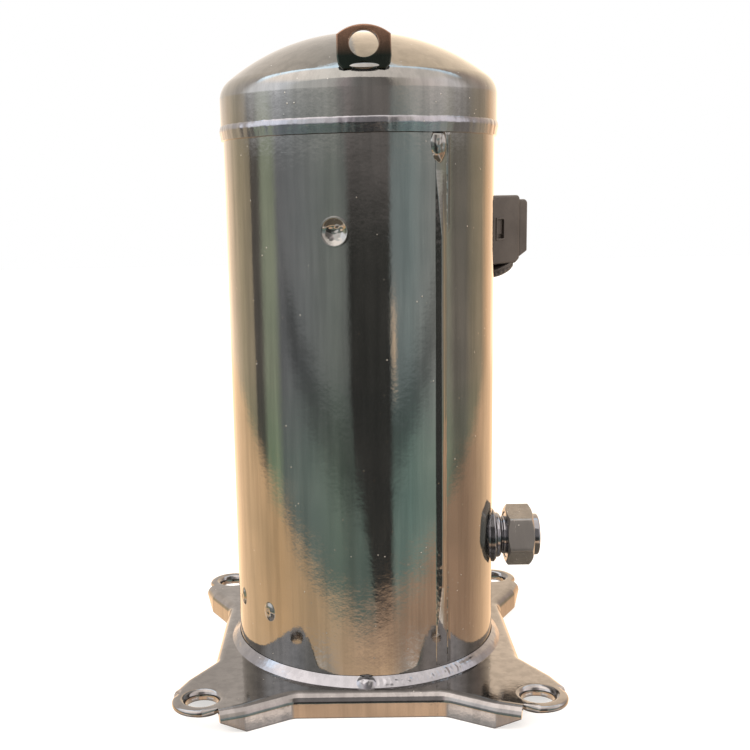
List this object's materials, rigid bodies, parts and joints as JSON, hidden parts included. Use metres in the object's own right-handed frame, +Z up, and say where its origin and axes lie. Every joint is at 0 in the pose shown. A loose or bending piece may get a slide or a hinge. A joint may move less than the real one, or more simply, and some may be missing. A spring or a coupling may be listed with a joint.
{
  "type": "scroll compressor",
  "caption": "Hermetic scroll compressor: welded steel shell on a four-footed base, side suction and discharge fittings, terminal box, and a working scroll set and motor inside.",
  "frame": {"origin": "on the shell's axis, at the height of the base plate's lowest edges, which is the centre of the bounding box's underside", "axes": "+Z up along the shell's axis; -Y is the front, where the lifting eye is; +X is the side with the suction fitting; the discharge fitting points along +Y"},
  "size_m": [0.2328, 0.2328, 0.3949],
  "materials": {
    "black_enamel": "gloss baked enamel over steel",
    "black_plastic": "matt moulded",
    "bare_steel": "bare machined steel",
    "dark_steel": "dark coated steel",
    "cast_iron": "machined grey iron",
    "aluminium": "cast",
    "bronze": "bearing bronze and brass",
    "copper": null,
    "rubber": "matt rubber",
    "magnet": "dark sintered magnet"
  },
  "bodies": {
    "housing": {"shell": "black_enamel", "shell_seam_weld": "black_enamel", "top_cap": "black_enamel", "top_cap_weld": "black_enamel", "bottom_cap": "black_enamel", "base_plate": "black_enamel", "base_weld": "black_enamel", "lifting_eye": "black_enamel", "suction_spud": "dark_steel", "suction_seal": "rubber", "suction_plug": "dark_steel", "discharge_spud": "dark_steel", "discharge_seal": "rubber", "discharge_plug": "dark_steel", "terminal_fence": "bare_steel", "hermetic_terminal": "bare_steel", "terminal_pin_1": "copper", "terminal_pin_2": "copper", "terminal_pin_3": "copper", "molded_plug": "black_plastic", "terminal_box": "black_plastic", "terminal_box_gasket": "rubber", "cable_gland": "black_plastic", "earth_screw": "bronze", "fixed_scroll": "cast_iron", "thrust_plate": "bare_steel", "main_bearing_housing": "cast_iron", "main_bearing_bush": "bronze", "scroll_bolt_1": "bare_steel", "scroll_bolt_2": "bare_steel", "scroll_bolt_3": "bare_steel", "scroll_bolt_4": "bare_steel", "muffler_plate": "dark_steel", "discharge_valve_cage": "bare_steel", "relief_valve": "bronze", "stator_core": "dark_steel", "winding_upper": "copper", "winding_lower": "copper", "motor_protector": "black_plastic", "lower_bearing_bracket": "bare_steel", "lower_bearing_bush": "bronze", "lower_thrust_washer": "bronze", "sump_magnet": "magnet"},
    "rotor": {"crankshaft": "bare_steel", "drive_bushing": "bare_steel", "upper_counterweight": "cast_iron", "rotor_core": "dark_steel", "rotor_end_ring_upper": "aluminium", "rotor_end_ring_lower": "aluminium", "lower_counterweight": "cast_iron", "oil_pickup_tube": "bare_steel"},
    "moving_scroll": {"orbiting_scroll": "cast_iron", "scroll_hub_bush": "bronze"},
    "oil_plug": {"oil_gallery_plug": "bronze"},
    "oldham": {"oldham_ring": "aluminium"},
    "valve_disc": {"discharge_valve_disc": "bare_steel"},
    "float_seal": {"floating_seal": "cast_iron"},
    "box_cover": {"terminal_cover": "black_plastic"},
    "suction_cap_nut": {"suction_nut": "dark_steel"},
    "discharge_cap_nut": {"discharge_nut": "dark_steel"}
  },
  "joints": [
    {"name": "crank_spin", "type": "hinge", "parent": "housing", "child": "rotor", "pos_m": [0, 0, 0.15], "axis": [0, 0, 1], "continuous": true},
    {"name": "scroll_orbit", "type": "hinge", "parent": "rotor", "child": "moving_scroll", "pos_m": [0, 0.005, 0.275], "axis": [0, 0, 1], "continuous": true},
    {"name": "oldham_link", "type": "hinge", "parent": "rotor", "child": "oil_plug", "pos_m": [0, 0.0025, 0.282], "axis": [0, 0, 1], "continuous": true},
    {"name": "oldham_stroke", "type": "hinge", "parent": "oil_plug", "child": "oldham", "pos_m": [0, 0, 0.281], "axis": [0, 0, 1], "continuous": true},
    {"name": "discharge_valve_lift", "type": "slide", "parent": "housing", "child": "valve_disc", "axis": [0, 0, 1], "range_m": [0, 0.003]},
    {"name": "floating_seal_lift", "type": "slide", "parent": "housing", "child": "float_seal", "axis": [0, 0, 1], "range_m": [0, 0.001]},
    {"name": "terminal_cover_pull", "type": "slide", "parent": "housing", "child": "box_cover", "axis": [0.766, 0.6428, 0], "range_m": [0, 0.045]},
    {"name": "suction_nut_turn", "type": "hinge", "parent": "housing", "child": "suction_cap_nut", "pos_m": [0.1, 0, 0.079], "axis": [1, 0, 0], "continuous": true},
    {"name": "discharge_nut_turn", "type": "hinge", "parent": "housing", "child": "discharge_cap_nut", "pos_m": [0, 0.1, 0.351], "axis": [0, 1, 0], "continuous": true}
  ],
  "couplings": [
    {"joint": "scroll_orbit", "follows": "crank_spin", "ratio": -1},
    {"joint": "oldham_link", "follows": "crank_spin", "ratio": -2},
    {"joint": "oldham_stroke", "follows": "crank_spin", "ratio": 1}
  ]
}
